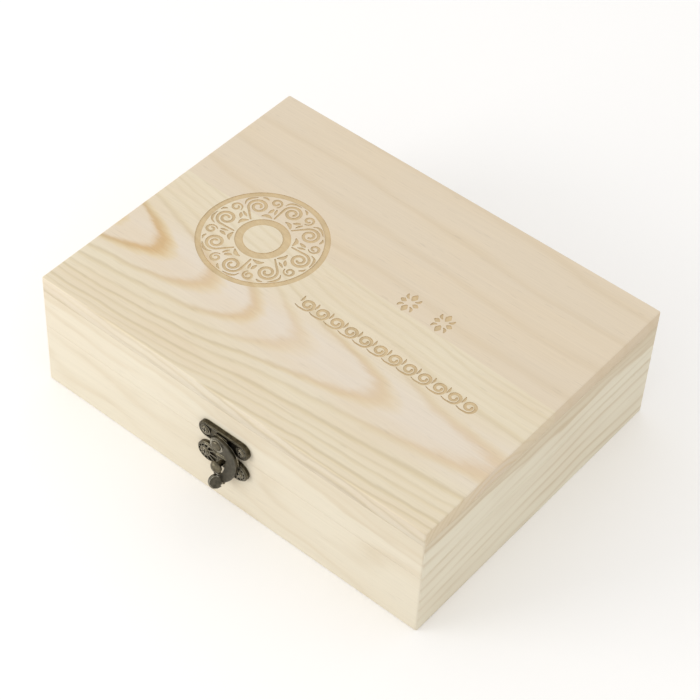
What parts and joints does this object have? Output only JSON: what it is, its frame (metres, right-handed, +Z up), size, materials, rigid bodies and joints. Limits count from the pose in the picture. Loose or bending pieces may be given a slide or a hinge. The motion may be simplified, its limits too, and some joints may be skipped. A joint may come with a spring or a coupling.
{
  "type": "coin display case",
  "caption": "Pale wooden case with a hinged lid, a swing-hook bronze clasp, and stacked foam trays holding round clear coin capsules.",
  "frame": {"origin": "middle of the underside, on the surface that the case stands on", "axes": "+X along the front from left to right, +Y from the front to the back, +Z up"},
  "size_m": [0.24, 0.2001, 0.0725],
  "materials": {
    "pine": "matte",
    "plywood": "matte",
    "tray_foam": "matte",
    "gasket_foam": "matte",
    "clear_acrylic": "gloss",
    "satin_ribbon": "satin",
    "antique_bronze": "satin"
  },
  "bodies": {
    "base": {"base_front_wall": "pine", "base_back_wall": "pine", "base_left_wall": "pine", "base_right_wall": "pine", "base_bottom_panel": "plywood", "foam_tray_lower": "tray_foam", "foam_tray_upper": "tray_foam", "capsule_cups_lower": "clear_acrylic", "capsule_covers_lower": "clear_acrylic", "gasket_rings_lower": "gasket_foam", "capsule_cups_upper": "clear_acrylic", "capsule_covers_upper": "clear_acrylic", "gasket_rings_upper": "gasket_foam", "tray_ribbon_front": "satin_ribbon", "tray_ribbon_back": "satin_ribbon", "catch_plate": "antique_bronze", "catch_plate_screws": "antique_bronze", "catch_stud": "antique_bronze", "hinge_left_base_leaf": "antique_bronze", "hinge_right_base_leaf": "antique_bronze", "hinge_left_pin": "antique_bronze", "hinge_right_pin": "antique_bronze", "hinge_base_screws": "antique_bronze"},
    "lid": {"lid_front_wall": "pine", "lid_back_wall": "pine", "lid_left_wall": "pine", "lid_right_wall": "pine", "lid_top_panel": "pine", "lid_foam_pad": "tray_foam", "clasp_plate": "antique_bronze", "clasp_plate_screws": "antique_bronze", "clasp_rivet": "antique_bronze", "hinge_left_lid_leaf": "antique_bronze", "hinge_right_lid_leaf": "antique_bronze", "hinge_lid_screws": "antique_bronze"},
    "hook": {"clasp_hook": "antique_bronze"}
  },
  "joints": [
    {"name": "lid_hinge", "type": "hinge", "parent": "base", "child": "lid", "pos_m": [0, 0.095, 0.0395], "axis": [-1, 0, 0], "range_deg": [0, 180]},
    {"name": "hook_swing", "type": "hinge", "parent": "lid", "child": "hook", "pos_m": [0, -0.0925, 0.0445], "axis": [0, -1, 0], "range_deg": [0, 90]}
  ]
}
